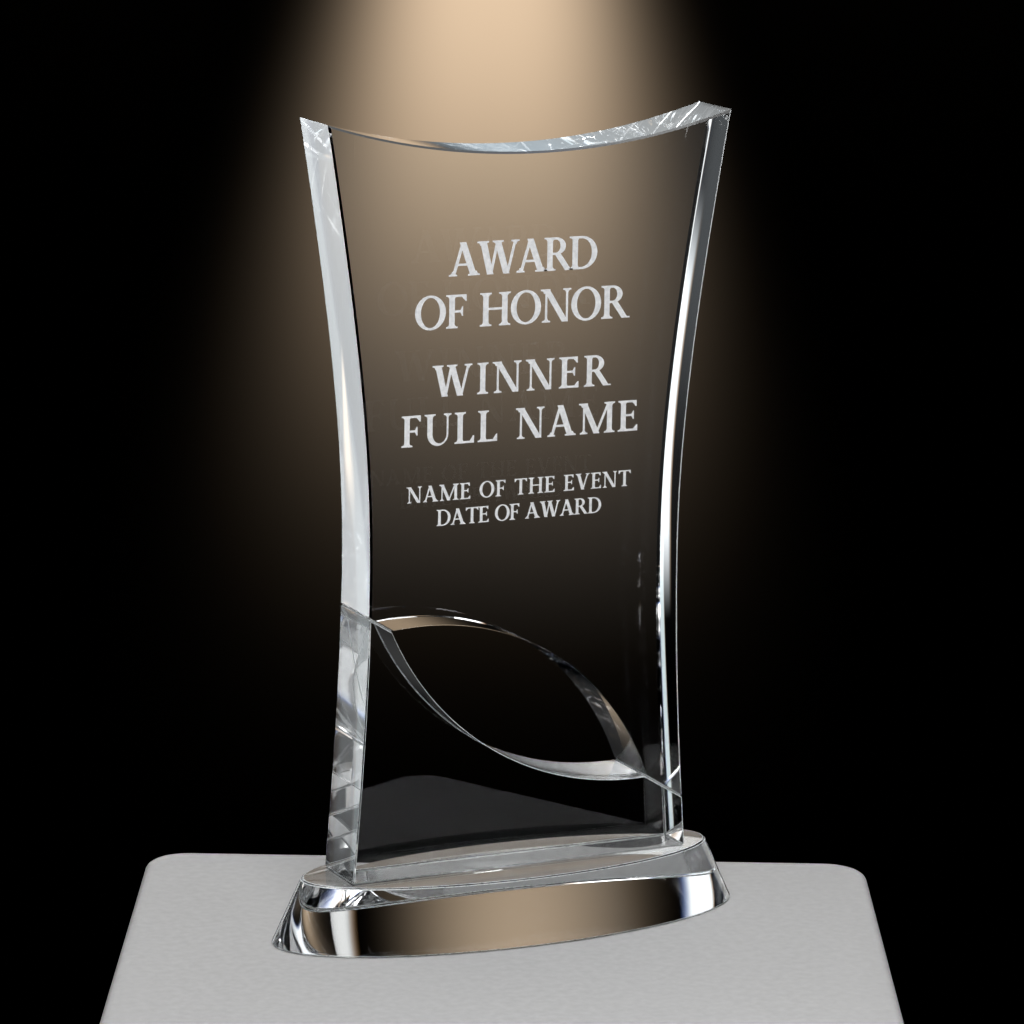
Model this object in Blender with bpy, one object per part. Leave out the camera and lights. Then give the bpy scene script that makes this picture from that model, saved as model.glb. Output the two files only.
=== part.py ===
"""Crystal award: two thick polished plates, bonded on a slanted seam around an almond window,
standing on an oval crystal base.  Metres, +Z up, +X to the right, the engraved face towards -Y.
The origin is at the bottom centre of the base."""

import math

import bmesh
import bpy
from mathutils import Vector

# Base: an oval frustum.
BASE_HEIGHT = 0.0202
BASE_FOOT_HALF_WIDTH = 0.0787
BASE_FOOT_HALF_DEPTH = 0.0305
BASE_TOP_HALF_WIDTH = 0.0691
BASE_TOP_HALF_DEPTH = 0.0244
BASE_EDGE_CHAMFER = 0.0006
BASE_SEGMENTS = 96

# Plates: heights are measured from the foot of the lower plate.
PLATE_THICKNESS = 0.0222
PLATE_HEIGHT = 0.2332
TOP_SAG = 0.0103
WAIST_HEIGHT = 0.0984
WAIST_HALF_WIDTH = 0.0525
FLARE_LENGTH = 0.086
FLARE_ABOVE_WAIST = 0.0174
FLARE_BELOW_WAIST = 0.0092
OUTER_CHAMFER = 0.0012
SEAM_CHAMFER = 0.0004
SIDE_SEGMENTS = 22
TOP_SEGMENTS = 28
WINDOW_SEGMENTS = 32

# Seam: a straight slanted cut, and the almond window that lies along it.
SEAM_HEIGHT = 0.0504
SEAM_ANGLE = math.radians(31.65)
WINDOW_OFFSET = -0.0012
WINDOW_HALF_LENGTH = 0.0515
WINDOW_RISE_ABOVE = 0.0182
WINDOW_RISE_BELOW = 0.0159

# Adhesive: thin clear films in the three joints.
FILM_THICKNESS = 0.0001
FILM_CLEARANCE = 0.00025
FILM_INSET = 0.0006
JOINT_THICKNESS = FILM_THICKNESS + 2 * FILM_CLEARANCE

SMOOTH_ANGLE = math.radians(20)

SEAM_DIRECTION = Vector((math.cos(SEAM_ANGLE), -math.sin(SEAM_ANGLE)))
SEAM_NORMAL = Vector((math.sin(SEAM_ANGLE), math.cos(SEAM_ANGLE)))


def clear_scene():
    for old in list(bpy.data.objects):
        bpy.data.objects.remove(old, do_unlink=True)


def make_material(name, color, roughness, ior):
    material = bpy.data.materials.new(name)
    material.use_nodes = True
    shader = material.node_tree.nodes["Principled BSDF"]
    shader.inputs["Base Color"].default_value = (*color, 1.0)
    shader.inputs["Roughness"].default_value = roughness
    shader.inputs["Metallic"].default_value = 0.0
    shader.inputs["IOR"].default_value = ior
    shader.inputs["Transmission Weight"].default_value = 1.0
    material.diffuse_color = (*color, 1.0)
    return material


def make_empty(name, parent=None, height=0.0):
    empty = bpy.data.objects.new(name, None)
    bpy.context.scene.collection.objects.link(empty)
    empty.parent = parent
    empty.location.z = height
    return empty


def make_object(name, mesh_maker, material, parent):
    """Link a named object whose mesh is built from a filled bmesh, facing outwards."""
    bm = bmesh.new()
    mesh_maker(bm)
    bmesh.ops.recalc_face_normals(bm, faces=bm.faces)
    mesh = bpy.data.meshes.new(name)
    bm.to_mesh(mesh)
    bm.free()
    mesh.shade_smooth()
    mesh.set_sharp_from_angle(angle=SMOOTH_ANGLE)
    mesh.materials.append(material)
    obj = bpy.data.objects.new(name, mesh)
    bpy.context.scene.collection.objects.link(obj)
    obj.parent = parent
    return obj


def add_edge_chamfer(obj, width):
    """One flat cut on every edge that carries a bevel weight; a weight of 1 cuts the full width."""
    bevel = obj.modifiers.new("polished_chamfer", "BEVEL")
    bevel.width = width
    bevel.segments = 1
    bevel.limit_method = "WEIGHT"
    bevel.miter_outer = "MITER_SHARP"


def bevel_weight_layer(bm):
    return bm.edges.layers.float.new("bevel_weight_edge")


def half_width(height):
    """Half the plate's width: a hyperbola with its waist between two flares."""
    rise = height - WAIST_HEIGHT
    flare = FLARE_ABOVE_WAIST if rise > 0 else FLARE_BELOW_WAIST
    return WAIST_HALF_WIDTH + flare * (math.hypot(1.0, rise / FLARE_LENGTH) - 1.0)


def seam_point(along, above):
    """A point of the plates' X-Z plane, from its distance along the seam and above it."""
    return Vector((0.0, SEAM_HEIGHT)) + SEAM_DIRECTION * along + SEAM_NORMAL * above


def seam_edge_height(side, above):
    """Height at which a line parallel to the seam leaves the plate on one side (-1 or +1)."""
    line_height = SEAM_HEIGHT + above / math.cos(SEAM_ANGLE)
    height = line_height
    for _ in range(12):
        height = line_height - side * half_width(height) * math.tan(SEAM_ANGLE)
    return height


def side_curve(side, low, high):
    """Points up one side of the plate, from one height to another, both ends included."""
    step = (high - low) / SIDE_SEGMENTS
    heights = [low + step * i for i in range(SIDE_SEGMENTS + 1)]
    return [Vector((side * half_width(height), height)) for height in heights]


def arc_between(start, end, rise, segments):
    """Inner points of the circular arc that bulges by rise to the left of start-to-end."""
    chord = end - start
    radius = (chord.length_squared / 4 + rise * rise) / (2 * rise)
    left = Vector((-chord.y, chord.x)).normalized()
    center = (start + end) / 2 + left * (rise - radius)
    spoke = start - center
    sweep = -2 * math.asin(chord.length / (2 * radius))
    points = []
    for i in range(1, segments):
        turn = sweep * i / segments
        x = spoke.x * math.cos(turn) - spoke.y * math.sin(turn)
        z = spoke.x * math.sin(turn) + spoke.y * math.cos(turn)
        points.append(center + Vector((x, z)))
    return points


def window_ends(above):
    """The two corners of the almond window on a line parallel to the seam."""
    left = seam_point(WINDOW_OFFSET - WINDOW_HALF_LENGTH, above)
    right = seam_point(WINDOW_OFFSET + WINDOW_HALF_LENGTH, above)
    return left, right


def upper_runs():
    """Upper plate: along its slanted foot, up the right side, over the top and down the left."""
    above = JOINT_THICKNESS / 2
    window_left, window_right = window_ends(above)
    window = arc_between(window_left, window_right, WINDOW_RISE_ABOVE, WINDOW_SEGMENTS)
    right = side_curve(1, seam_edge_height(1, above), PLATE_HEIGHT)
    left = side_curve(-1, seam_edge_height(-1, above), PLATE_HEIGHT)
    sag = arc_between(left[-1], right[-1], -TOP_SAG, TOP_SEGMENTS)
    foot = [left[0], window_left, *window, window_right, right[0]]
    top = [right[-1], *reversed(sag), left[-1]]
    return [(foot, SEAM_CHAMFER), (right, OUTER_CHAMFER), (top, OUTER_CHAMFER), (left[::-1], OUTER_CHAMFER)]


def lower_runs():
    """Lower plate: along its flat foot, up the right side, back along the slanted head and down."""
    above = -JOINT_THICKNESS / 2
    window_left, window_right = window_ends(above)
    window = arc_between(window_left, window_right, -WINDOW_RISE_BELOW, WINDOW_SEGMENTS)
    right = side_curve(1, 0.0, seam_edge_height(1, above))
    left = side_curve(-1, 0.0, seam_edge_height(-1, above))
    foot = [left[0], right[0]]
    head = [right[-1], window_right, *reversed(window), window_left, left[-1]]
    return [(foot, SEAM_CHAMFER), (right, OUTER_CHAMFER), (head, SEAM_CHAMFER), (left[::-1], OUTER_CHAMFER)]


def fill_plate(bm, runs):
    """Close the runs into one outline, give it the plate's thickness and weight both rims.

    Each run is a list of points and the width of its chamfer; it ends where the next one starts."""
    weights = bevel_weight_layer(bm)
    outline = [(point, chamfer) for points, chamfer in runs for point in points[:-1]]
    rings = []
    for depth in (-PLATE_THICKNESS / 2, PLATE_THICKNESS / 2):
        ring = [bm.verts.new((point.x, depth, point.y)) for point, _ in outline]
        bm.faces.new(ring)
        rings.append(ring)
    front, rear = rings
    for i, (_, chamfer) in enumerate(outline):
        after = (i + 1) % len(outline)
        bm.faces.new((front[i], front[after], rear[after], rear[i]))
        for ring in rings:
            bm.edges.get((ring[i], ring[after]))[weights] = chamfer / OUTER_CHAMFER


def fill_base(bm):
    """Oval frustum between two coaxial ellipses, with both rims weighted for the chamfer."""
    weights = bevel_weight_layer(bm)
    ellipses = (
        (BASE_FOOT_HALF_WIDTH, BASE_FOOT_HALF_DEPTH, 0.0),
        (BASE_TOP_HALF_WIDTH, BASE_TOP_HALF_DEPTH, BASE_HEIGHT),
    )
    rims = []
    for half_x, half_y, height in ellipses:
        ring = []
        for i in range(BASE_SEGMENTS):
            turn = math.tau * i / BASE_SEGMENTS
            ring.append(bm.verts.new((half_x * math.cos(turn), half_y * math.sin(turn), height)))
        rims.extend(bm.faces.new(ring).edges)
    for edge in rims:
        edge[weights] = 1.0
    bmesh.ops.bridge_loops(bm, edges=rims)


def fill_film(bm, length, depth):
    """A thin rectangular sheet of adhesive centred on its own origin."""
    bmesh.ops.create_cube(bm, size=1.0)
    bmesh.ops.scale(bm, vec=(length, depth, FILM_THICKNESS), verts=bm.verts)


def make_base(parent):
    material = make_material("base_crystal", (0.93, 0.97, 0.97), 0.02, 1.52)
    base = make_object("base", fill_base, material, parent)
    add_edge_chamfer(base, BASE_EDGE_CHAMFER)


def make_plate(name, runs, color, parent):
    material = make_material(name + "_crystal", color, 0.02, 1.52)
    plate = make_object(name, lambda bm: fill_plate(bm, runs), material, parent)
    add_edge_chamfer(plate, OUTER_CHAMFER)


def make_seam_film(name, side, parent):
    """Adhesive between the two plates, from the window's corner to the plates' side edge."""
    inner = WINDOW_OFFSET + side * WINDOW_HALF_LENGTH
    outer = side * half_width(seam_edge_height(side, 0.0)) / math.cos(SEAM_ANGLE)
    length = abs(outer - inner) - 2 * FILM_INSET
    depth = PLATE_THICKNESS - 2 * (SEAM_CHAMFER + FILM_INSET)
    material = make_material(name + "_adhesive", (0.95, 0.96, 0.94), 0.12, 1.50)
    film = make_object(name, lambda bm: fill_film(bm, length, depth), material, parent)
    middle = seam_point((inner + outer) / 2, 0.0)
    film.location = (middle.x, 0.0, middle.y)
    film.rotation_euler.y = SEAM_ANGLE


def make_base_film(parent):
    """Adhesive between the base and the foot of the lower plate."""
    length = 2 * (half_width(0.0) - FILM_INSET)
    depth = PLATE_THICKNESS - 2 * (SEAM_CHAMFER + FILM_INSET)
    material = make_material("base_bond_adhesive", (0.95, 0.96, 0.94), 0.12, 1.50)
    film = make_object("base_bond", lambda bm: fill_film(bm, length, depth), material, parent)
    film.location.z = BASE_HEIGHT + JOINT_THICKNESS / 2


def main():
    clear_scene()
    award = make_empty("award")
    plates = make_empty("plates", award, BASE_HEIGHT + JOINT_THICKNESS)
    make_base(award)
    make_base_film(award)
    make_plate("lower_plate", lower_runs(), (0.94, 0.97, 0.98), plates)
    make_plate("upper_plate", upper_runs(), (0.95, 0.98, 0.98), plates)
    make_seam_film("left_seam_bond", -1, plates)
    make_seam_film("right_seam_bond", 1, plates)


main()
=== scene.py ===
"""Crystal award: polished crystal, clear adhesive joints and frosted engraving on the CAD frame."""

import math

import bmesh
import bpy
from mathutils import Matrix, Vector, geometry


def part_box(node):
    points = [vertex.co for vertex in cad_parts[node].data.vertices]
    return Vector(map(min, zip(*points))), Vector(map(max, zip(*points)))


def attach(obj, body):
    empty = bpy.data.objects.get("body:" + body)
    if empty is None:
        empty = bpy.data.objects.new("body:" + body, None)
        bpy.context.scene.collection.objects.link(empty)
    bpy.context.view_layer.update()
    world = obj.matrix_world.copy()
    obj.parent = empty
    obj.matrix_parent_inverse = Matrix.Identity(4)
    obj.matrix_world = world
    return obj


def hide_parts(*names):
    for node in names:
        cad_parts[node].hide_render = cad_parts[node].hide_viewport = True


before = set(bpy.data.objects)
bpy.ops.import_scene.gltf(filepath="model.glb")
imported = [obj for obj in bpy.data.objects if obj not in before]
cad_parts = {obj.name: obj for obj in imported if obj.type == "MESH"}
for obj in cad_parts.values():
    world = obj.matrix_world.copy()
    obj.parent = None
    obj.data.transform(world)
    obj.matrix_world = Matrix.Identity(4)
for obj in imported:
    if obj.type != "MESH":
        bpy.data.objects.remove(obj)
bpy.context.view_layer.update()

base_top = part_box("base")[1].z
upper_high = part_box("upper_plate")[1]

# Lengths are in metres. Plates: heights are measured from the foot of the lower plate.
PLATE_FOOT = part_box("lower_plate")[0].z
PLATE_TOP = upper_high.z - PLATE_FOOT
HALF_DEPTH = upper_high.y
TOP_SAG = 0.0103
WAIST_HEIGHT = 0.0984
WAIST_HALF_WIDTH = 0.0525
FLARE_LENGTH = 0.086
FLARE_ABOVE_WAIST = 0.0174
FLARE_BELOW_WAIST = 0.0092
OUTER_CHAMFER = 0.0012
SEAM_CHAMFER = 0.0004
EDGE_HOLLOW = 0.00015
ARRIS = 0.00013

# Seam and window: the seam's height at the plate's middle, and the window's offset along the seam.
SEAM_HEIGHT = 0.0504
SEAM_ANGLE = math.radians(31.65)
WINDOW_OFFSET = -0.0012
WINDOW_HALF_LENGTH = 0.0515
WINDOW_RISE_ABOVE = 0.0182
WINDOW_RISE_BELOW = 0.0159
SEAM_DIRECTION = Vector((math.cos(SEAM_ANGLE), -math.sin(SEAM_ANGLE)))
SEAM_NORMAL = Vector((math.sin(SEAM_ANGLE), math.cos(SEAM_ANGLE)))

# Base: the rims of the ovals before their chamfer.
BASE_CHAMFER = 0.0006
BASE_TOP_HALF = Vector((0.0691, 0.0244))
BASE_FOOT_HALF = Vector((0.0787, 0.0305))

# Adhesive joints: the gap between two crystal pieces, the air left on each side of the film, and
# how far its edge stays inside the joint.
JOINT = PLATE_FOOT - base_top
FILM_CLEARANCE = 0.00003
FILM_INSET = 0.0003

# Capitals of a Roman serif, in units of their own height.
STEM = 0.18
HAIR = 0.07
SERIF_REACH = 0.10
SERIF_THICK = 0.045
BRACKET = 0.09
BEAK = 0.2
OVERSHOOT = 0.02
WORD_GAP = 0.42

# Engraved lines: generic words, then the baseline's height above the floor, cap height and width.
ENGRAVED_LINES = [
    ("AWARD", 0.2070, 0.0102, 0.0500),
    ("OF HONOR", 0.1912, 0.0102, 0.0720),
    ("WINNER", 0.1705, 0.0096, 0.0600),
    ("FULL NAME", 0.1557, 0.0096, 0.0800),
    ("NAME OF THE EVENT", 0.1384, 0.0050, 0.0760),
    ("DATE OF AWARD", 0.1307, 0.0050, 0.0560),
]
ENGRAVING_CENTER = -0.0028
ENGRAVING_THICKNESS = 0.00005
ENGRAVING_GAP = 0.00001

SIDE_SEGMENTS = 96
TOP_SEGMENTS = 128
WINDOW_SEGMENTS = 128
BASE_SEGMENTS = 384
BOWL_SEGMENTS = 28
BRACKET_SEGMENTS = 4
DEPTH_STRIPS = 8
SMOOTH_ANGLE = math.radians(12)
ARRIS_ANGLE = math.radians(20)

# Refractive index of optical crystal.
IOR = 1.52

# Floor slab, turned to the camera: its rear and front edges, its half width and its thickness.
FLOOR_REAR = 0.070
FLOOR_FRONT = -0.130
FLOOR_HALF_WIDTH = 0.118
FLOOR_THICKNESS = 0.03
FLOOR_CORNER = 0.014
FLOOR_RIM = 0.003
FLOOR_GAP = 0.0002

# Camera: it aims at VIEW_TARGET along VIEW_AZIMUTH, looking down by VIEW_ELEVATION.
VIEW_AZIMUTH = math.radians(25.885)
VIEW_ELEVATION = math.radians(11.852)
VIEW_ROLL = math.radians(0.946)
VIEW_DISTANCE = 1.3638
VIEW_TARGET = Vector((0.0003, 0.0007, 0.1304))
LENS = 155.35

# Soft panels: the shares of a panel that fade at each edge and are tinted at each side, the distance
# of the far ones and the colours of their light.
PANEL_FADE = 0.26
PANEL_FRINGE = 0.17
FAR = 4.0
WARM_WHITE = (1.0, 0.99, 0.97)
WHITE = (1.0, 1.0, 1.0)
COOL_WHITE = (0.95, 0.98, 1.0)
COOL = (0.93, 0.97, 1.0)
COOLER = (0.85, 0.93, 1.0)
PALE_CYAN = (0.85, 0.97, 1.0)
PALE_BLUE = (0.74, 0.89, 1.0)

# Backdrop: a cone of light whose shape is in tangents of its angles, and a lobe of light above it.
CONE_AZIMUTH = 25.5
CONE_TOP = -0.08
CONE_FALL = 0.072
CONE_HALF_WIDTH = 0.0097
CONE_SPREAD = 0.18
CONE_GLOW = 0.80
LOBE_AZIMUTH = 26.5
LOBE_ELEVATION = 20
LOBE_FOCUS = 70.0
LOBE_GLOW = 0.45
GROUND_STARTS = math.sin(math.radians(-24))
GROUND_FULL = math.sin(math.radians(-34))
GROUND_GLOW = 0.12
WARM = (1.0, 0.74, 0.50)


# ---------------------------------------------------------------- nodes


def new_material(name):
    material = bpy.data.materials.new(name)
    material.use_nodes = True
    tree = material.node_tree
    return material, tree.nodes, tree.links


def add_node(nodes, kind, **values):
    """A node with its own settings (plain names) or its inputs' values (names with spaces as _)."""
    node = nodes.new(kind)
    for key, value in values.items():
        if hasattr(node, key):
            setattr(node, key, value)
        else:
            node.inputs[key.replace("_", " ")].default_value = value
    return node


def add_ramp(nodes, links, source, low, high):
    """A colour ramp on a node's output between two (position, grey) stops."""
    ramp = add_node(nodes, "ShaderNodeValToRGB")
    for element, (position, grey) in zip(ramp.color_ramp.elements, (low, high)):
        element.position = position
        element.color = (grey, grey, grey, 1.0)
    links.new(source, ramp.inputs["Fac"])
    return ramp


def crystal_material(name, tint, wave, haze_range):
    """Polished optical crystal: slow polishing waves, hairline scratches and uneven handling haze.

    wave is the strength of the waves; haze_range is the least and the most roughness."""
    material, nodes, links = new_material(name)
    shader = nodes["Principled BSDF"]
    shader.inputs["Base Color"].default_value = (*tint, 1.0)
    shader.inputs["IOR"].default_value = IOR
    shader.inputs["Transmission Weight"].default_value = 1.0
    coords = add_node(nodes, "ShaderNodeTexCoord")
    waves = add_node(nodes, "ShaderNodeTexNoise", Scale=30.0, Detail=1.0)
    links.new(coords.outputs["Object"], waves.inputs["Vector"])
    polish = add_node(nodes, "ShaderNodeBump", Strength=wave, Distance=0.0004)
    links.new(waves.outputs["Fac"], polish.inputs["Height"])
    stretch = add_node(nodes, "ShaderNodeMapping")
    stretch.inputs["Rotation"].default_value = (0.4, 0.5, 0.3)
    stretch.inputs["Scale"].default_value = (1.0, 1.0, 0.04)
    links.new(coords.outputs["Object"], stretch.inputs["Vector"])
    hairlines = add_node(nodes, "ShaderNodeTexNoise", Scale=1500.0, Detail=1.0)
    links.new(stretch.outputs["Vector"], hairlines.inputs["Vector"])
    sparse = add_ramp(nodes, links, hairlines.outputs["Fac"], (0.74, 0.0), (0.78, 1.0))
    scratch = add_node(nodes, "ShaderNodeBump", Strength=0.05, Distance=0.00001)
    links.new(sparse.outputs["Color"], scratch.inputs["Height"])
    links.new(polish.outputs["Normal"], scratch.inputs["Normal"])
    links.new(scratch.outputs["Normal"], shader.inputs["Normal"])
    haze = add_node(nodes, "ShaderNodeTexNoise", Scale=60.0, Detail=6.0, Roughness=0.7)
    links.new(coords.outputs["Object"], haze.inputs["Vector"])
    low, high = haze_range
    rough = add_ramp(nodes, links, haze.outputs["Fac"], (0.5, low), (0.85, high))
    links.new(rough.outputs["Color"], shader.inputs["Roughness"])
    return material


def arris_highlight_material():
    """A fine strip along each sharp edge: rough, half clear and whitish. Its whiteness is a painted
    highlight that makes each edge a bright line.
    """
    material, nodes, links = new_material("ground_arris")
    shader = nodes["Principled BSDF"]
    shader.inputs["IOR"].default_value = IOR
    shader.inputs["Transmission Weight"].default_value = 0.4
    coords = add_node(nodes, "ShaderNodeTexCoord")
    grain = add_node(nodes, "ShaderNodeTexNoise", Scale=900.0, Detail=4.0, Roughness=0.6)
    links.new(coords.outputs["Object"], grain.inputs["Vector"])
    # The whitish tone is a painted highlight along the edge.
    tone = add_node(nodes, "ShaderNodeValToRGB")
    tone.color_ramp.elements[0].position = 0.3
    tone.color_ramp.elements[0].color = (0.72, 0.80, 0.84, 1.0)
    tone.color_ramp.elements[1].position = 0.65
    tone.color_ramp.elements[1].color = (0.96, 0.99, 1.0, 1.0)
    links.new(grain.outputs["Fac"], tone.inputs["Fac"])
    links.new(tone.outputs["Color"], shader.inputs["Base Color"])
    rough = add_ramp(nodes, links, grain.outputs["Fac"], (0.3, 0.2), (0.8, 0.5))
    links.new(rough.outputs["Color"], shader.inputs["Roughness"])
    return material


def adhesive_material(name, clear, cloudy):
    """Index-matched adhesive: light goes straight through, with a faint uneven haze."""
    material, nodes, links = new_material(name)
    shader = nodes["Principled BSDF"]
    shader.inputs["Base Color"].default_value = (0.88, 0.92, 0.94, 1.0)
    shader.inputs["Roughness"].default_value = 0.3
    shader.inputs["IOR"].default_value = 1.5
    coords = add_node(nodes, "ShaderNodeTexCoord")
    haze = add_node(nodes, "ShaderNodeTexNoise", Scale=400.0, Detail=4.0)
    links.new(coords.outputs["Object"], haze.inputs["Vector"])
    alpha = add_ramp(nodes, links, haze.outputs["Fac"], (0.4, clear), (0.75, cloudy))
    links.new(alpha.outputs["Color"], shader.inputs["Alpha"])
    return material


def frosted_material():
    """Sandblasted crystal: bright, matt and slightly mottled, with a fine grain."""
    material, nodes, links = new_material("frosted_engraving")
    shader = nodes["Principled BSDF"]
    coords = add_node(nodes, "ShaderNodeTexCoord")
    mottle = add_node(nodes, "ShaderNodeTexNoise", Scale=700.0, Detail=5.0, Roughness=0.65)
    links.new(coords.outputs["Object"], mottle.inputs["Vector"])
    tone = add_node(nodes, "ShaderNodeValToRGB")
    tone.color_ramp.elements[0].position = 0.25
    tone.color_ramp.elements[0].color = (0.62, 0.64, 0.66, 1.0)
    tone.color_ramp.elements[1].position = 0.7
    tone.color_ramp.elements[1].color = (0.90, 0.91, 0.92, 1.0)
    links.new(mottle.outputs["Fac"], tone.inputs["Fac"])
    links.new(tone.outputs["Color"], shader.inputs["Base Color"])
    rough = add_ramp(nodes, links, mottle.outputs["Fac"], (0.2, 0.75), (0.8, 1.0))
    links.new(rough.outputs["Color"], shader.inputs["Roughness"])
    grain = add_node(nodes, "ShaderNodeTexNoise", Scale=5000.0, Detail=2.0)
    links.new(coords.outputs["Object"], grain.inputs["Vector"])
    bump = add_node(nodes, "ShaderNodeBump", Strength=0.4, Distance=0.00005)
    links.new(grain.outputs["Fac"], bump.inputs["Height"])
    links.new(bump.outputs["Normal"], shader.inputs["Normal"])
    return material


def floor_material():
    material, nodes, links = new_material("pale_floor")
    shader = nodes["Principled BSDF"]
    coords = add_node(nodes, "ShaderNodeTexCoord")
    grain = add_node(nodes, "ShaderNodeTexNoise", Scale=350.0, Detail=4.0)
    links.new(coords.outputs["Object"], grain.inputs["Vector"])
    tone = add_ramp(nodes, links, grain.outputs["Fac"], (0.3, 0.44), (0.7, 0.49))
    links.new(tone.outputs["Color"], shader.inputs["Base Color"])
    shader.inputs["Roughness"].default_value = 0.7
    bump = add_node(nodes, "ShaderNodeBump", Strength=0.15, Distance=0.0003)
    links.new(grain.outputs["Fac"], bump.inputs["Height"])
    links.new(bump.outputs["Normal"], shader.inputs["Normal"])
    return material


# ---------------------------------------------------------------- outlines


def half_width(height):
    """Half the plate's width: a hyperbola with its waist between two flares."""
    rise = height - WAIST_HEIGHT
    flare = FLARE_ABOVE_WAIST if rise > 0 else FLARE_BELOW_WAIST
    return WAIST_HALF_WIDTH + flare * (math.hypot(1.0, rise / FLARE_LENGTH) - 1.0)


def seam_point(along, above):
    """A point of the plates' X-Z plane, from its distance along the seam and above it."""
    return Vector((0.0, SEAM_HEIGHT)) + SEAM_DIRECTION * along + SEAM_NORMAL * above


def seam_edge_height(side, above):
    """Height at which a line parallel to the seam leaves the plate on one side (-1 or +1).

    The side is curved, so the height is found by repeated substitution."""
    line_height = SEAM_HEIGHT + above / math.cos(SEAM_ANGLE)
    height = line_height
    for _ in range(12):
        height = line_height - side * half_width(height) * math.tan(SEAM_ANGLE)
    return height


def side_curve(side, low, high):
    step = (high - low) / SIDE_SEGMENTS
    heights = [low + step * i for i in range(SIDE_SEGMENTS + 1)]
    return [Vector((side * half_width(height), height)) for height in heights]


def arc_between(start, end, rise, segments):
    """Inner points of the circular arc that bulges by rise to the left of start-to-end."""
    chord = end - start
    radius = (chord.length_squared / 4 + rise * rise) / (2 * rise)
    left = Vector((-chord.y, chord.x)).normalized()
    center = (start + end) / 2 + left * (rise - radius)
    spoke = start - center
    sweep = -2 * math.asin(chord.length / (2 * radius))
    points = []
    for i in range(1, segments):
        turn = sweep * i / segments
        x = spoke.x * math.cos(turn) - spoke.y * math.sin(turn)
        z = spoke.x * math.sin(turn) + spoke.y * math.cos(turn)
        points.append(center + Vector((x, z)))
    return points


def window_ends(above):
    left = seam_point(WINDOW_OFFSET - WINDOW_HALF_LENGTH, above)
    right = seam_point(WINDOW_OFFSET + WINDOW_HALF_LENGTH, above)
    return left, right


def upper_runs():
    """Runs of outline points, each with its chamfer and its kind of wall: bonded, cut or hollow."""
    above = JOINT / 2
    window_left, window_right = window_ends(above)
    window = arc_between(window_left, window_right, WINDOW_RISE_ABOVE, WINDOW_SEGMENTS)
    right = side_curve(1, seam_edge_height(1, above), PLATE_TOP)
    left = side_curve(-1, seam_edge_height(-1, above), PLATE_TOP)
    sag = arc_between(left[-1], right[-1], -TOP_SAG, TOP_SEGMENTS)
    return [
        ([left[0], window_left], SEAM_CHAMFER, "bonded"),
        ([window_left, *window, window_right], SEAM_CHAMFER, "cut"),
        ([window_right, right[0]], SEAM_CHAMFER, "bonded"),
        (right, OUTER_CHAMFER, "hollow"),
        ([right[-1], *reversed(sag), left[-1]], OUTER_CHAMFER, "cut"),
        (left[::-1], OUTER_CHAMFER, "hollow"),
    ]


def lower_runs():
    above = -JOINT / 2
    window_left, window_right = window_ends(above)
    window = arc_between(window_left, window_right, -WINDOW_RISE_BELOW, WINDOW_SEGMENTS)
    right = side_curve(1, 0.0, seam_edge_height(1, above))
    left = side_curve(-1, 0.0, seam_edge_height(-1, above))
    return [
        ([left[0], right[0]], SEAM_CHAMFER, "bonded"),
        (right, OUTER_CHAMFER, "hollow"),
        ([right[-1], window_right], SEAM_CHAMFER, "bonded"),
        ([window_right, *reversed(window), window_left], SEAM_CHAMFER, "cut"),
        ([window_left, left[-1]], SEAM_CHAMFER, "bonded"),
        (left[::-1], OUTER_CHAMFER, "hollow"),
    ]


# ---------------------------------------------------------------- pieces


def make_piece(name, bm, materials, node=None, chamfer=None):
    """A named piece on the award's body; a chamfer cuts every weighted edge before shading."""
    bmesh.ops.recalc_face_normals(bm, faces=bm.faces)
    mesh = bpy.data.meshes.new(name)
    bm.to_mesh(mesh)
    bm.free()
    for material in materials:
        mesh.materials.append(material)
    piece = bpy.data.objects.new(name, mesh)
    bpy.context.scene.collection.objects.link(piece)
    if chamfer:
        cut_chamfer(piece, chamfer)
    piece.data.shade_smooth()
    piece.data.set_sharp_from_angle(angle=SMOOTH_ANGLE)
    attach(piece, "root")
    if node:
        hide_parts(node)
    return piece


def cut_chamfer(piece, width):
    """Cut the weighted edges (material 1), then bevel a fine arris on each sharp edge (material 3),
    whose whitish colour is a painted highlight.
    """
    cuts = (("polished_chamfer", width, "WEIGHT", 1), ("ground_arris", ARRIS, "ANGLE", 3))
    for name, reach, limit, material in cuts:
        bevel = piece.modifiers.new(name, "BEVEL")
        bevel.width = reach
        bevel.segments = 1
        bevel.limit_method = limit
        bevel.angle_limit = ARRIS_ANGLE
        bevel.miter_outer = "MITER_SHARP"
        bevel.material = material
    graph = bpy.context.evaluated_depsgraph_get()
    mesh = bpy.data.meshes.new_from_object(piece.evaluated_get(graph))
    piece.modifiers.clear()
    piece.data = mesh


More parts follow.
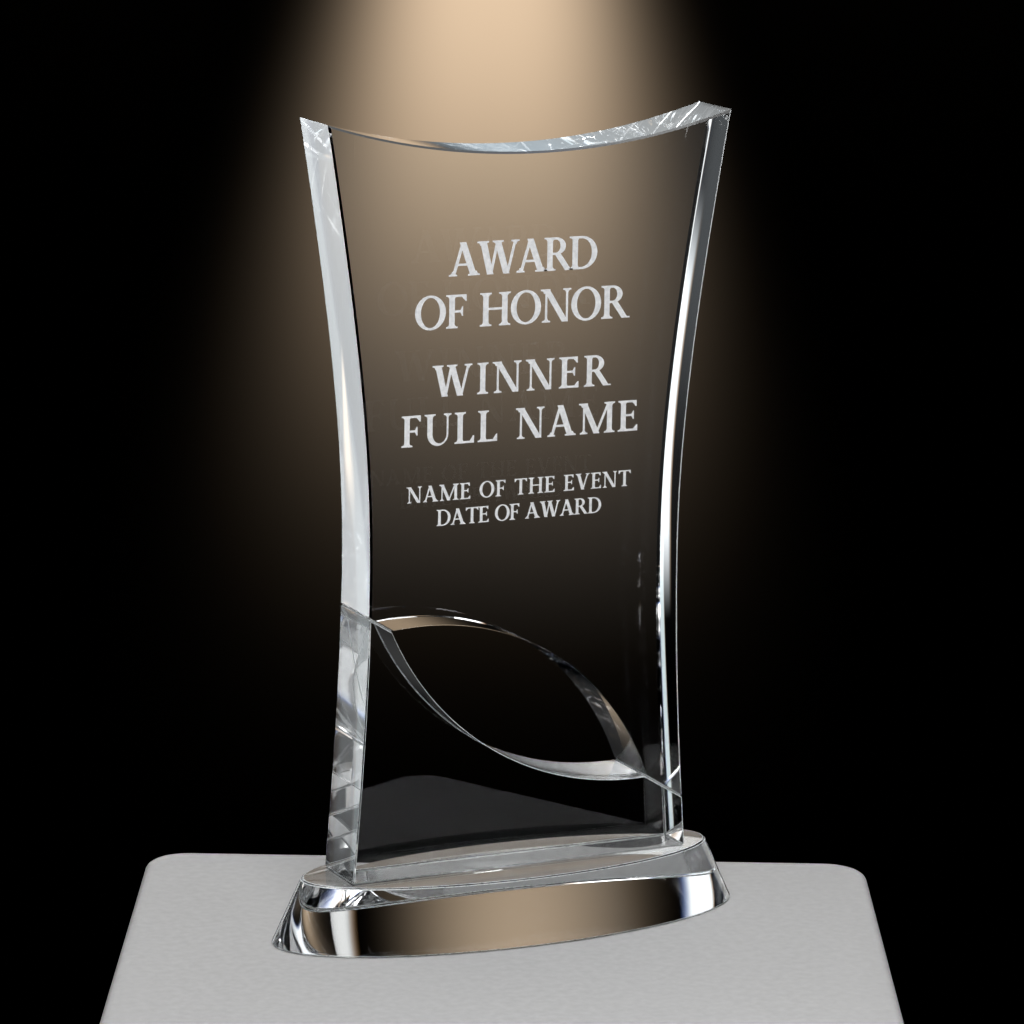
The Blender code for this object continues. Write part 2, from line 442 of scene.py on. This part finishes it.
def fill_plate(runs):
    """Close the runs into one outline, give it the plate's thickness and weight both rims.

    Faces: 0 is the front and rear, 1 the cut walls, 2 the walls that adhesive covers. A hollow
    wall is drawn in slightly at the middle of its depth, as its polishing wheel leaves it."""
    bm = bmesh.new()
    weights = bm.edges.layers.float.new("bevel_weight_edge")
    outline = [(point, chamfer, wall) for points, chamfer, wall in runs for point in points[:-1]]
    rings = []
    for step in range(DEPTH_STRIPS + 1):
        depth = 2 * step / DEPTH_STRIPS - 1
        ring = []
        for i, (point, _, wall) in enumerate(outline):
            hollow = EDGE_HOLLOW if wall == "hollow" or outline[i - 1][2] == "hollow" else 0.0
            inwards = math.copysign(hollow * (1 - depth * depth), -point.x)
            ring.append(bm.verts.new((point.x + inwards, depth * HALF_DEPTH, PLATE_FOOT + point.y)))
        rings.append(ring)
    for ring in (rings[0], rings[-1]):
        bm.faces.new(ring)
    for i, (_, chamfer, wall) in enumerate(outline):
        after = (i + 1) % len(outline)
        for near, far in zip(rings, rings[1:]):
            face = bm.faces.new((near[i], near[after], far[after], far[i]))
            face.material_index = 2 if wall == "bonded" else 1
        for ring in (rings[0], rings[-1]):
            bm.edges.get((ring[i], ring[after]))[weights] = chamfer / OUTER_CHAMFER
    return bm


def make_plates(materials):
    for name, runs in (("upper_plate", upper_runs()), ("lower_plate", lower_runs())):
        make_piece(name + "_crystal", fill_plate(runs), materials, name, OUTER_CHAMFER)


def oval(half, height, offset=0.0):
    """An ellipse's points at one height, moved outwards by offset."""
    points = []
    for i in range(BASE_SEGMENTS):
        turn = math.tau * i / BASE_SEGMENTS
        outward = Vector((math.cos(turn) / half.x, math.sin(turn) / half.y)).normalized()
        x = half.x * math.cos(turn) + outward.x * offset
        y = half.y * math.sin(turn) + outward.y * offset
        points.append((x, y, height))
    return points


def between(first, second, share):
    return [Vector(a).lerp(Vector(b), share) for a, b in zip(first, second)]


def make_base(materials):
    """Oval frustum whose top is split into a bonded footprint and the open face around it.

    Its rings rise from the foot: an arris (3) alternates with the chamfers and the wall (1)."""
    top = base_top
    bm = bmesh.new()
    slope = (BASE_FOOT_HALF - BASE_TOP_HALF) / top
    cut = BASE_CHAMFER / math.sqrt(2)
    foot_cut = oval(BASE_FOOT_HALF, 0.0, -BASE_CHAMFER)
    foot_wall = oval(BASE_FOOT_HALF - slope * cut, cut)
    top_wall = oval(BASE_TOP_HALF + slope * cut, top - cut)
    top_cut = oval(BASE_TOP_HALF, top, -BASE_CHAMFER)
    rings = [
        oval(BASE_FOOT_HALF, 0.0, -BASE_CHAMFER - ARRIS),
        between(foot_cut, foot_wall, ARRIS / BASE_CHAMFER),
        between(foot_wall, foot_cut, ARRIS / BASE_CHAMFER),
        between(foot_wall, top_wall, ARRIS / top),
        between(top_wall, foot_wall, ARRIS / top),
        between(top_wall, top_cut, ARRIS / BASE_CHAMFER),
        between(top_cut, top_wall, ARRIS / BASE_CHAMFER),
        oval(BASE_TOP_HALF, top, -BASE_CHAMFER - ARRIS),
    ]
    rings = [[bm.verts.new(point) for point in ring] for ring in rings]
    bm.faces.new(rings[0])
    for level, (first, second) in enumerate(zip(rings, rings[1:])):
        for i in range(BASE_SEGMENTS):
            after = (i + 1) % BASE_SEGMENTS
            wall = bm.faces.new((first[i], first[after], second[after], second[i]))
            wall.material_index = 1 if level % 2 else 3
    rim = rings[-1]
    reach = half_width(0.0)
    depth = HALF_DEPTH - SEAM_CHAMFER
    corners = ((-reach, -depth), (reach, -depth), (reach, depth), (-reach, depth))
    footprint = [bm.verts.new((x, y, top)) for x, y in corners]
    bonded = bm.faces.new(footprint)
    bonded.material_index = 2
    loop = [*rim, *footprint]
    flat = [vert.co.xy.copy() for vert in loop]
    count = len(rim)
    edges = [(i, (i + 1) % count) for i in range(count)]
    edges += [(count + i, count + (i + 1) % 4) for i in range(4)]
    result = geometry.delaunay_2d_cdt(flat, edges, [], 1, 1e-7)
    triangles, sources = result[2], result[3]
    for triangle in triangles:
        verts = [loop[sources[i][0]] for i in triangle]
        if not all(vert in footprint for vert in verts):
            bm.faces.new(verts)
    make_piece("base_crystal", bm, materials, "base")


def make_film(name, node, center, length, depth, turn, materials):
    """Cured adhesive that fills a joint: a thin clear sheet whose rounded edge is cloudier."""
    bm = bmesh.new()
    bmesh.ops.create_cube(bm, size=1.0)
    thickness = JOINT - 2 * FILM_CLEARANCE
    bmesh.ops.scale(bm, vec=(length, depth, thickness), verts=bm.verts)
    bmesh.ops.bevel(bm, geom=bm.edges, offset=thickness * 0.3, segments=3, profile=0.5, affect="EDGES")
    bm.normal_update()
    for face in bm.faces:
        face.material_index = 0 if abs(face.normal.z) > 0.99 else 1
    bmesh.ops.rotate(bm, matrix=Matrix.Rotation(turn, 3, "Y"), verts=bm.verts)
    bmesh.ops.translate(bm, vec=center, verts=bm.verts)
    make_piece(name, bm, materials, node)


def make_films(materials):
    depth = 2 * (HALF_DEPTH - SEAM_CHAMFER - FILM_INSET)
    for side, name in ((-1, "left_seam"), (1, "right_seam")):
        inner = WINDOW_OFFSET + side * WINDOW_HALF_LENGTH
        outer = side * half_width(seam_edge_height(side, 0.0)) / math.cos(SEAM_ANGLE)
        middle = seam_point((inner + outer) / 2, 0.0)
        center = (middle.x, 0.0, PLATE_FOOT + middle.y)
        length = abs(outer - inner) - 2 * FILM_INSET
        make_film(name + "_film", name + "_bond", center, length, depth, SEAM_ANGLE, materials)
    length = 2 * (half_width(0.0) - FILM_INSET)
    center = (0.0, 0.0, PLATE_FOOT - JOINT / 2)
    make_film("base_film", "base_bond", center, length, depth, 0.0, materials)


# ---------------------------------------------------------------- engraving

# A stroke is a polygon in units of the cap height. A glyph is a list of strokes, which may overlap,
# and the letter's width.


def bar(left, right, low, high):
    return [(left, low), (right, low), (right, high), (left, high)]


def diagonal(low_x, high_x, width, low=0.0, high=1.0):
    """Slanted stroke between two heights; width is measured along its level ends."""
    return [(low_x, low), (low_x + width, low), (high_x + width, high), (high_x, high)]


def serif(left, right, level, side):
    """Slab across a stroke's foot (side 1) or head (side -1), curving into the stroke."""
    slab = level + side * SERIF_THICK
    root = slab + side * BRACKET
    curve = []
    for i in range(BRACKET_SEGMENTS + 1):
        turn = math.pi / 2 * i / BRACKET_SEGMENTS
        curve.append((SERIF_REACH * (1 - math.sin(turn)), root - side * BRACKET * math.cos(turn)))
    right_side = [(right + reach, height) for reach, height in curve]
    left_side = [(left - reach, height) for reach, height in reversed(curve)]
    return [(left - SERIF_REACH, level), (right + SERIF_REACH, level), *right_side, *left_side]


def stem(left, width=STEM, head=True, foot=True):
    right = left + width
    strokes = [bar(left, right, 0.0, 1.0)]
    if foot:
        strokes.append(serif(left, right, 0.0, 1))
    if head:
        strokes.append(serif(left, right, 1.0, -1))
    return strokes


def arm(start, end, level, reach):
    """Thin level stroke whose end widens into a wedge that reaches up (or down, if negative)."""
    inner = level + math.copysign(HAIR, reach)
    side = math.copysign(1.0, end - start)
    wedge = [
        (end, level),
        (end, level + reach),
        (end - side * 0.035, level + reach),
        (end - side * 0.15, inner),
        (end - side * 0.15, level),
    ]
    return [bar(min(start, end), max(start, end), min(level, inner), max(level, inner)), wedge]


def middle_arm(start, end, level):
    tip = BEAK * 0.7
    wedge = [
        (end, level - tip),
        (end, level + tip),
        (end - 0.03, level + tip),
        (end - 0.11, level),
        (end - 0.03, level - tip),
    ]
    return [bar(start, end - 0.02, level - HAIR / 2, level + HAIR / 2), wedge]


def bowl(outer, outer_half, inner, inner_half, start, stop):
    """Sectors between two ellipses, each with its centre and half axes, from start to stop degrees."""
    strokes = []
    for i in range(BOWL_SEGMENTS):
        turns = [math.radians(start + (stop - start) * (i + j) / BOWL_SEGMENTS) for j in (0, 1)]
        near, far = [
            [(x + half_x * math.cos(turn), z + half_z * math.sin(turn)) for turn in turns]
            for (x, z), (half_x, half_z) in ((inner, inner_half), (outer, outer_half))
        ]
        strokes.append([near[0], far[0], far[1], near[1]])
    return strokes


def glyph_a():
    thick = diagonal(0.70, 0.34, STEM + 0.03)
    thin = diagonal(0.10, 0.40, HAIR + 0.03)
    feet = [serif(0.10, 0.17, 0.0, 1), serif(0.72, 0.91, 0.0, 1)]
    return [thick, thin, bar(0.20, 0.76, 0.30, 0.30 + HAIR), *feet], 1.01


def glyph_d():
    side = bowl((0.40, 0.5), (0.53, 0.5), (0.40, 0.5), (0.53 - STEM, 0.5 - HAIR), -90, 90)
    hairs = [bar(0.2, 0.41, 0.0, HAIR), bar(0.2, 0.41, 1.0 - HAIR, 1.0)]
    return [*stem(0.10), *hairs, *side], 0.95


def glyph_e():
    arms = [*arm(0.2, 0.66, 1.0, -BEAK), *middle_arm(0.2, 0.57, 0.52), *arm(0.2, 0.70, 0.0, BEAK)]
    return [*stem(0.10), *arms], 0.72


def glyph_f():
    return [*stem(0.10), *arm(0.2, 0.66, 1.0, -BEAK), *middle_arm(0.2, 0.55, 0.50)], 0.67


def glyph_h():
    return [*stem(0.10), *stem(0.72), bar(0.2, 0.8, 0.48, 0.48 + HAIR)], 1.0


def glyph_i():
    return stem(0.10), 0.38


def glyph_l():
    return [*stem(0.10), *arm(0.2, 0.68, 0.0, BEAK * 1.2)], 0.69


def glyph_m():
    strokes = [*stem(0.13, HAIR, head=False), *stem(0.99)]
    strokes += [diagonal(0.52, 0.06, STEM + 0.03), diagonal(0.57, 1.0, HAIR + 0.02)]
    return [*strokes, serif(0.08, 0.2, 1.0, -1)], 1.27


def glyph_n():
    strokes = [*stem(0.13, HAIR, head=False), *stem(0.82, HAIR, foot=False)]
    return [*strokes, diagonal(0.69, 0.06, STEM + 0.03), serif(0.08, 0.2, 1.0, -1)], 0.99


def glyph_o():
    center = (0.5, 0.5)
    outer = (0.5, 0.5 + OVERSHOOT)
    inner = (0.5 - STEM - 0.01, 0.5 + OVERSHOOT - HAIR)
    return bowl(center, outer, center, inner, 0, 360), 1.0


def glyph_r():
    side = bowl((0.38, 0.735), (0.33, 0.265), (0.38, 0.735), (0.33 - STEM, 0.265 - HAIR), -90, 90)
    hairs = [bar(0.2, 0.39, 1.0 - HAIR, 1.0), bar(0.2, 0.39, 0.47, 0.47 + HAIR)]
    leg = diagonal(0.69, 0.34, STEM + 0.03, 0.0, 0.5)
    return [*stem(0.10), *hairs, *side, leg, bar(0.72, 0.96, 0.0, SERIF_THICK)], 0.93


def glyph_t():
    arms = [*arm(0.44, 0.02, 1.0, -BEAK), *arm(0.44, 0.86, 1.0, -BEAK)]
    return [*stem(0.35, head=False), *arms], 0.88


def glyph_u():
    cup = bowl((0.465, 0.36), (0.365, 0.36 + OVERSHOOT), (0.525, 0.36), (0.245, 0.30), 180, 360)
    left = [bar(0.10, 0.28, 0.36, 1.0), serif(0.10, 0.28, 1.0, -1)]
    right = [bar(0.77, 0.83, 0.36, 1.0), serif(0.77, 0.83, 1.0, -1)]
    return [*cup, *left, *right], 0.93


def glyph_v():
    thick = diagonal(0.40, 0.09, STEM + 0.03)
    thin = diagonal(0.46, 0.78, HAIR + 0.02)
    return [thick, thin, serif(0.10, 0.28, 1.0, -1), serif(0.79, 0.86, 1.0, -1)], 0.97


def glyph_w():
    strokes = [diagonal(0.33, 0.09, STEM + 0.03), diagonal(0.41, 0.62, HAIR + 0.02)]
    strokes += [diagonal(0.86, 0.56, STEM + 0.03), diagonal(0.95, 1.20, HAIR + 0.02)]
    heads = [serif(0.10, 0.28, 1.0, -1), serif(0.60, 0.76, 1.0, -1), serif(1.21, 1.28, 1.0, -1)]
    return [*strokes, *heads], 1.39


GLYPHS = {
    "A": glyph_a, "D": glyph_d, "E": glyph_e, "F": glyph_f, "H": glyph_h, "I": glyph_i,
    "L": glyph_l, "M": glyph_m, "N": glyph_n, "O": glyph_o, "R": glyph_r, "T": glyph_t,
    "U": glyph_u, "V": glyph_v, "W": glyph_w,
}


def set_words(words, width):
    """Strokes of a line of the given width, with the spare width shared between the letters."""
    glyphs = [GLYPHS[letter]() if letter != " " else ([], WORD_GAP) for letter in words]
    natural = sum(advance for _, advance in glyphs)
    gap = (width - natural) / (len(glyphs) - 1)
    cursor = 0.0
    line = []
    for strokes, advance in glyphs:
        line.append([[(x + cursor, z) for x, z in stroke] for stroke in strokes])
        cursor += advance + gap
    return [glyph for glyph in line if glyph]


def unite(strokes):
    """Triangles that cover overlapping polygons once."""
    points = []
    faces = []
    for stroke in strokes:
        area = sum(a[0] * b[1] - b[0] * a[1] for a, b in zip(stroke, [*stroke[1:], stroke[0]]))
        ordered = stroke if area > 0 else stroke[::-1]
        faces.append([len(points) + i for i in range(len(ordered))])
        points += [Vector(point) for point in ordered]
    result = geometry.delaunay_2d_cdt(points, [], faces, 1, 1e-5)
    covered = [triangle for triangle, sources in zip(result[2], result[5]) if sources]
    return result[0], covered


def emboss(bm, points, triangles, place, rear, front):
    """A closed solid between two depths over flat triangles; place maps a point to (x, z)."""
    layers = []
    for depth in (front, rear):
        layers.append({})
        for i in {i for triangle in triangles for i in triangle}:
            x, z = place(points[i])
            layers[-1][i] = bm.verts.new((x, depth, z))
    near, far = layers
    sides = {(t[i], t[(i + 1) % 3]) for t in triangles for i in range(3)}
    for triangle in triangles:
        bm.faces.new([near[i] for i in triangle])
        bm.faces.new([far[i] for i in reversed(triangle)])
    for a, b in sides:
        if (b, a) not in sides:
            bm.faces.new((near[b], near[a], far[a], far[b]))


def make_engraving(material):
    rear = -HALF_DEPTH - ENGRAVING_GAP
    for number, (words, baseline, height, width) in enumerate(ENGRAVED_LINES, 1):
        bm = bmesh.new()
        left = ENGRAVING_CENTER - width / 2
        for strokes in set_words(words, width / height):
            points, triangles = unite(strokes)
            emboss(
                bm, points, triangles,
                lambda p: (left + p.x * height, baseline + p.y * height),
                rear, rear - ENGRAVING_THICKNESS,
            )
        make_piece("engraving_line_%d" % number, bm, [material])


# ---------------------------------------------------------------- stage


def make_floor():
    """Pale slab turned to the camera, its rear edge just behind the award."""
    bm = bmesh.new()
    bmesh.ops.create_cube(bm, size=1.0)
    size = (2 * FLOOR_HALF_WIDTH, FLOOR_REAR - FLOOR_FRONT, FLOOR_THICKNESS)
    center = (0.0, (FLOOR_REAR + FLOOR_FRONT) / 2, -FLOOR_THICKNESS / 2 - FLOOR_GAP)
    bmesh.ops.scale(bm, vec=size, verts=bm.verts)
    bmesh.ops.translate(bm, vec=center, verts=bm.verts)
    upright = [edge for edge in bm.edges if edge.verts[0].co.xy == edge.verts[1].co.xy]
    bmesh.ops.bevel(bm, geom=upright, offset=FLOOR_CORNER, segments=12, profile=0.5, affect="EDGES")
    rim = [edge for edge in bm.edges if len({face.normal.z > 0.9 for face in edge.link_faces}) == 2]
    bmesh.ops.bevel(bm, geom=rim, offset=FLOOR_RIM, segments=4, profile=0.5, affect="EDGES")
    bmesh.ops.rotate(bm, matrix=Matrix.Rotation(-VIEW_AZIMUTH, 3, "Z"), verts=bm.verts)
    mesh = bpy.data.meshes.new("floor")
    bm.to_mesh(mesh)
    bm.free()
    mesh.shade_smooth()
    mesh.set_sharp_from_angle(angle=math.radians(30))
    mesh.materials.append(floor_material())
    floor = bpy.data.objects.new("floor", mesh)
    bpy.context.scene.collection.objects.link(floor)
    # The crystal doesn't mirror the slab, as the dark cloth it stands in for isn't mirrored either.
    floor.visible_glossy = False


def direction(azimuth, elevation):
    """Unit vector towards an azimuth from +Y to +X and an elevation, in degrees."""
    turn, tilt = math.radians(azimuth), math.radians(elevation)
    return Vector((math.sin(turn) * math.cos(tilt), math.cos(turn) * math.cos(tilt), math.sin(tilt)))


def make_softbox(name, azimuth, elevation, size, radiance, color=WHITE, distance=1.5):
    """A soft panel at a direction from the award; size is its width and height in degrees.

    With energy at pi times the area, the node's strength is the panel's radiance."""
    light = bpy.data.lights.new(name, "AREA")
    light.shape = "RECTANGLE"
    light.size, light.size_y = [2 * distance * math.tan(math.radians(angle) / 2) for angle in size]
    light.energy = math.pi * light.size * light.size_y
    light.color = color
    soften_panel(light, radiance)
    lamp = bpy.data.objects.new(name, light)
    away = direction(azimuth, elevation)
    lamp.location = VIEW_TARGET + away * distance
    lamp.rotation_mode = "QUATERNION"
    lamp.rotation_quaternion = away.to_track_quat("Z", "Y")
    lamp.visible_camera = False
    bpy.context.scene.collection.objects.link(lamp)
    return lamp


def light_only(lamp, *piece_names):
    """Limit a panel to some pieces, so that it isn't seen through the others."""
    receivers = bpy.data.collections.new(lamp.name + "_receivers")
    for piece_name in piece_names:
        receivers.objects.link(bpy.data.objects[piece_name])
    lamp.light_linking.receiver_collection = receivers


def soften_panel(light, radiance):
    """Fade a panel towards its edges, as cloth does, with one side edge cool and the other warm."""
    light.use_nodes = True
    nodes, links = light.node_tree.nodes, light.node_tree.links
    place = add_node(nodes, "ShaderNodeNewGeometry")
    split = add_node(nodes, "ShaderNodeSeparateXYZ")
    links.new(place.outputs["Parametric"], split.inputs[0])
    strength = radiance
    for axis in ("X", "Y"):
        edge = compute(nodes, links, "PINGPONG", split.outputs[axis], 0.5)
        fade = smooth_range(nodes, links, edge, 0.0, PANEL_FADE)
        strength = compute(nodes, links, "MULTIPLY", fade, strength)
    tint = add_node(nodes, "ShaderNodeValToRGB")
    stops = tint.color_ramp.elements
    stops[0].color = (0.12, 0.32, 1.0, 1.0)
    stops[1].color = (1.0, 0.50, 0.12, 1.0)
    for position in (PANEL_FRINGE, 1.0 - PANEL_FRINGE):
        stops.new(position).color = (1.0, 1.0, 1.0, 1.0)
    links.new(split.outputs["X"], tint.inputs["Fac"])
    links.new(tint.outputs["Color"], nodes["Emission"].inputs["Color"])
    links.new(strength, nodes["Emission"].inputs["Strength"])


def compute(nodes, links, operation, first, second):
    node = add_node(nodes, "ShaderNodeMath", operation=operation)
    for socket, value in zip(node.inputs, (first, second)):
        if isinstance(value, float):
            socket.default_value = value
        else:
            links.new(value, socket)
    return node.outputs[0]


def smooth_range(nodes, links, value, low, high):
    node = add_node(nodes, "ShaderNodeMapRange", interpolation_type="SMOOTHSTEP")
    node.inputs["From Min"].default_value = low
    node.inputs["From Max"].default_value = high
    links.new(value, node.inputs["Value"])
    return node.outputs["Result"]


def make_world():
    """Dark studio with a warm cone of light behind the award, a warm lobe and a dim ground."""
    world = bpy.data.worlds.new("studio")
    world.use_nodes = True
    bpy.context.scene.world = world
    nodes, links = world.node_tree.nodes, world.node_tree.links
    background = nodes["Background"]
    coords = add_node(nodes, "ShaderNodeTexCoord")

    def project(axis):
        node = add_node(nodes, "ShaderNodeVectorMath", operation="DOT_PRODUCT")
        node.inputs[1].default_value = axis
        links.new(coords.outputs["Generated"], node.inputs[0])
        return node.outputs["Value"]

    def work(operation, first, second):
        return compute(nodes, links, operation, first, second)

    ahead = project(direction(CONE_AZIMUTH, 0))
    aside = project(direction(CONE_AZIMUTH + 90, 0))
    up = project(Vector((0, 0, 1)))
    slope = work("DIVIDE", up, ahead)
    offset = work("ABSOLUTE", work("DIVIDE", aside, ahead), 0.0)
    reach = work("SUBTRACT", CONE_HALF_WIDTH, work("MULTIPLY", slope, CONE_SPREAD))
    reach = work("MAXIMUM", reach, CONE_HALF_WIDTH / 2)
    across = work("POWER", work("DIVIDE", offset, reach), 3.0)
    fall = work("MAXIMUM", work("DIVIDE", work("SUBTRACT", CONE_TOP, slope), CONE_FALL), 0.0)
    decay = work("ADD", across, work("POWER", fall, 2.0))
    cone = work("POWER", math.e, work("MULTIPLY", decay, -1.0))
    cone = work("MULTIPLY", cone, smooth_range(nodes, links, ahead, 0.0, 0.2))
    cone = work("MULTIPLY", cone, smooth_range(nodes, links, slope, 0.04, -0.02))
    above = work("MAXIMUM", project(direction(LOBE_AZIMUTH, LOBE_ELEVATION)), 0.0)
    lobe = work("POWER", above, LOBE_FOCUS)
    glow = work("ADD", work("MULTIPLY", cone, CONE_GLOW), work("MULTIPLY", lobe, LOBE_GLOW))
    ground = smooth_range(nodes, links, up, GROUND_STARTS, GROUND_FULL)
    level = work("MULTIPLY", ground, GROUND_GLOW)
    warm = add_node(nodes, "ShaderNodeVectorMath", operation="MULTIPLY_ADD")
    links.new(glow, warm.inputs[0])
    warm.inputs[1].default_value = WARM
    links.new(level, warm.inputs[2])
    links.new(warm.outputs["Vector"], background.inputs["Color"])


def make_camera():
    back = Vector((
        -math.sin(VIEW_AZIMUTH) * math.cos(VIEW_ELEVATION),
        -math.cos(VIEW_AZIMUTH) * math.cos(VIEW_ELEVATION),
        math.sin(VIEW_ELEVATION),
    ))
    level = Vector((math.cos(VIEW_AZIMUTH), -math.sin(VIEW_AZIMUTH), 0.0))
    rise = back.cross(level)
    right = level * math.cos(VIEW_ROLL) + rise * math.sin(VIEW_ROLL)
    up = rise * math.cos(VIEW_ROLL) - level * math.sin(VIEW_ROLL)
    data = bpy.data.cameras.new("camera")
    data.sensor_width = 36.0
    data.lens = LENS
    camera = bpy.data.objects.new("camera", data)
    turn = Matrix((right, up, back)).transposed().to_4x4()
    camera.matrix_world = Matrix.Translation(VIEW_TARGET + back * VIEW_DISTANCE) @ turn
    bpy.context.scene.collection.objects.link(camera)
    bpy.context.scene.camera = camera


def make_award():
    crystal = crystal_material("polished_crystal", (0.97, 0.985, 0.985), 0.012, (0.0, 0.04))
    cut = crystal_material("cut_crystal", (0.955, 0.985, 1.0), 0.008, (0.0, 0.06))
    bonded = adhesive_material("bonded_face", 0.0, 0.03)
    arris = arris_highlight_material()
    make_plates([crystal, cut, bonded, arris])
    make_base([crystal, cut, bonded, arris])
    cured = adhesive_material("cured_adhesive", 0.02, 0.10)
    edge = adhesive_material("adhesive_edge", 0.4, 0.8)
    make_films([cured, edge])
    make_engraving(frosted_material())


def make_panels():
    """Soft panels, each at the azimuth and elevation where the crystal's faces mirror or bend it.

    Some light only the pieces named, and some are hidden from rays that have passed through the
    crystal, so that they don't show through the plates. The front one gives no reflections."""
    base_right = make_softbox("base_right_panel", -6, 0, (23, 60), 1.4, COOL_WHITE)
    light_only(base_right, "base_crystal")
    base_left = make_softbox("base_left_panel", 63, -4, (28, 40), 1.1, WARM_WHITE)
    light_only(base_left, "base_crystal")
    sheen = make_softbox("left_sheen_panel", -22.5, -13.2, (20, 12), 3.4, COOL, FAR)
    sheen.visible_transmission = False
    light_only(sheen, "upper_plate_crystal")
    make_softbox("right_edge_panel", -25, -6.5, (8, 18), 1.5, COOL, FAR)
    make_softbox("right_line_panel", -24, 4, (2, 16), 1.2, COOL, FAR)
    make_softbox("right_foot_panel", -23.5, -17, (3, 14), 0.8, PALE_CYAN, FAR)
    rim = make_softbox("right_rim_panel", 68, -8, (34, 60), 2.2, COOL_WHITE)
    rim.visible_transmission = False
    light_only(rim, "upper_plate_crystal", "lower_plate_crystal")
    crown = make_softbox("top_edge_panel", 24, 17, (24, 26), 1.0, PALE_BLUE)
    crown.visible_transmission = False
    light_only(crown, "upper_plate_crystal")
    front = make_softbox("front_low_panel", -150, -30, (50, 60), 1.9)
    front.visible_transmission = False
    front.visible_glossy = False
    make_softbox("left_rear_panel", -40, 14, (44, 44), 0.07, COOLER)
    fill = make_softbox("front_right_fill", 158, -1, (60, 30), 0.35)
    fill.visible_transmission = False
    make_softbox("left_low_panel", -120, -42, (36, 30), 2.8)
    make_softbox("front_top_softbox", 205, 50, (45, 35), 9.0)
    make_softbox("top_softbox", 26, 86, (60, 60), 3.0)


def set_light_paths():
    """Enough bounces for light to leave the crystal, and plain colours."""
    scene = bpy.context.scene
    scene.view_settings.view_transform = "Standard"
    scene.cycles.max_bounces = 32
    scene.cycles.transmission_bounces = 32
    scene.cycles.glossy_bounces = 16
    scene.cycles.transparent_max_bounces = 32
    scene.cycles.use_denoising = True


make_award()
make_floor()
make_panels()
make_world()
make_camera()
set_light_paths()
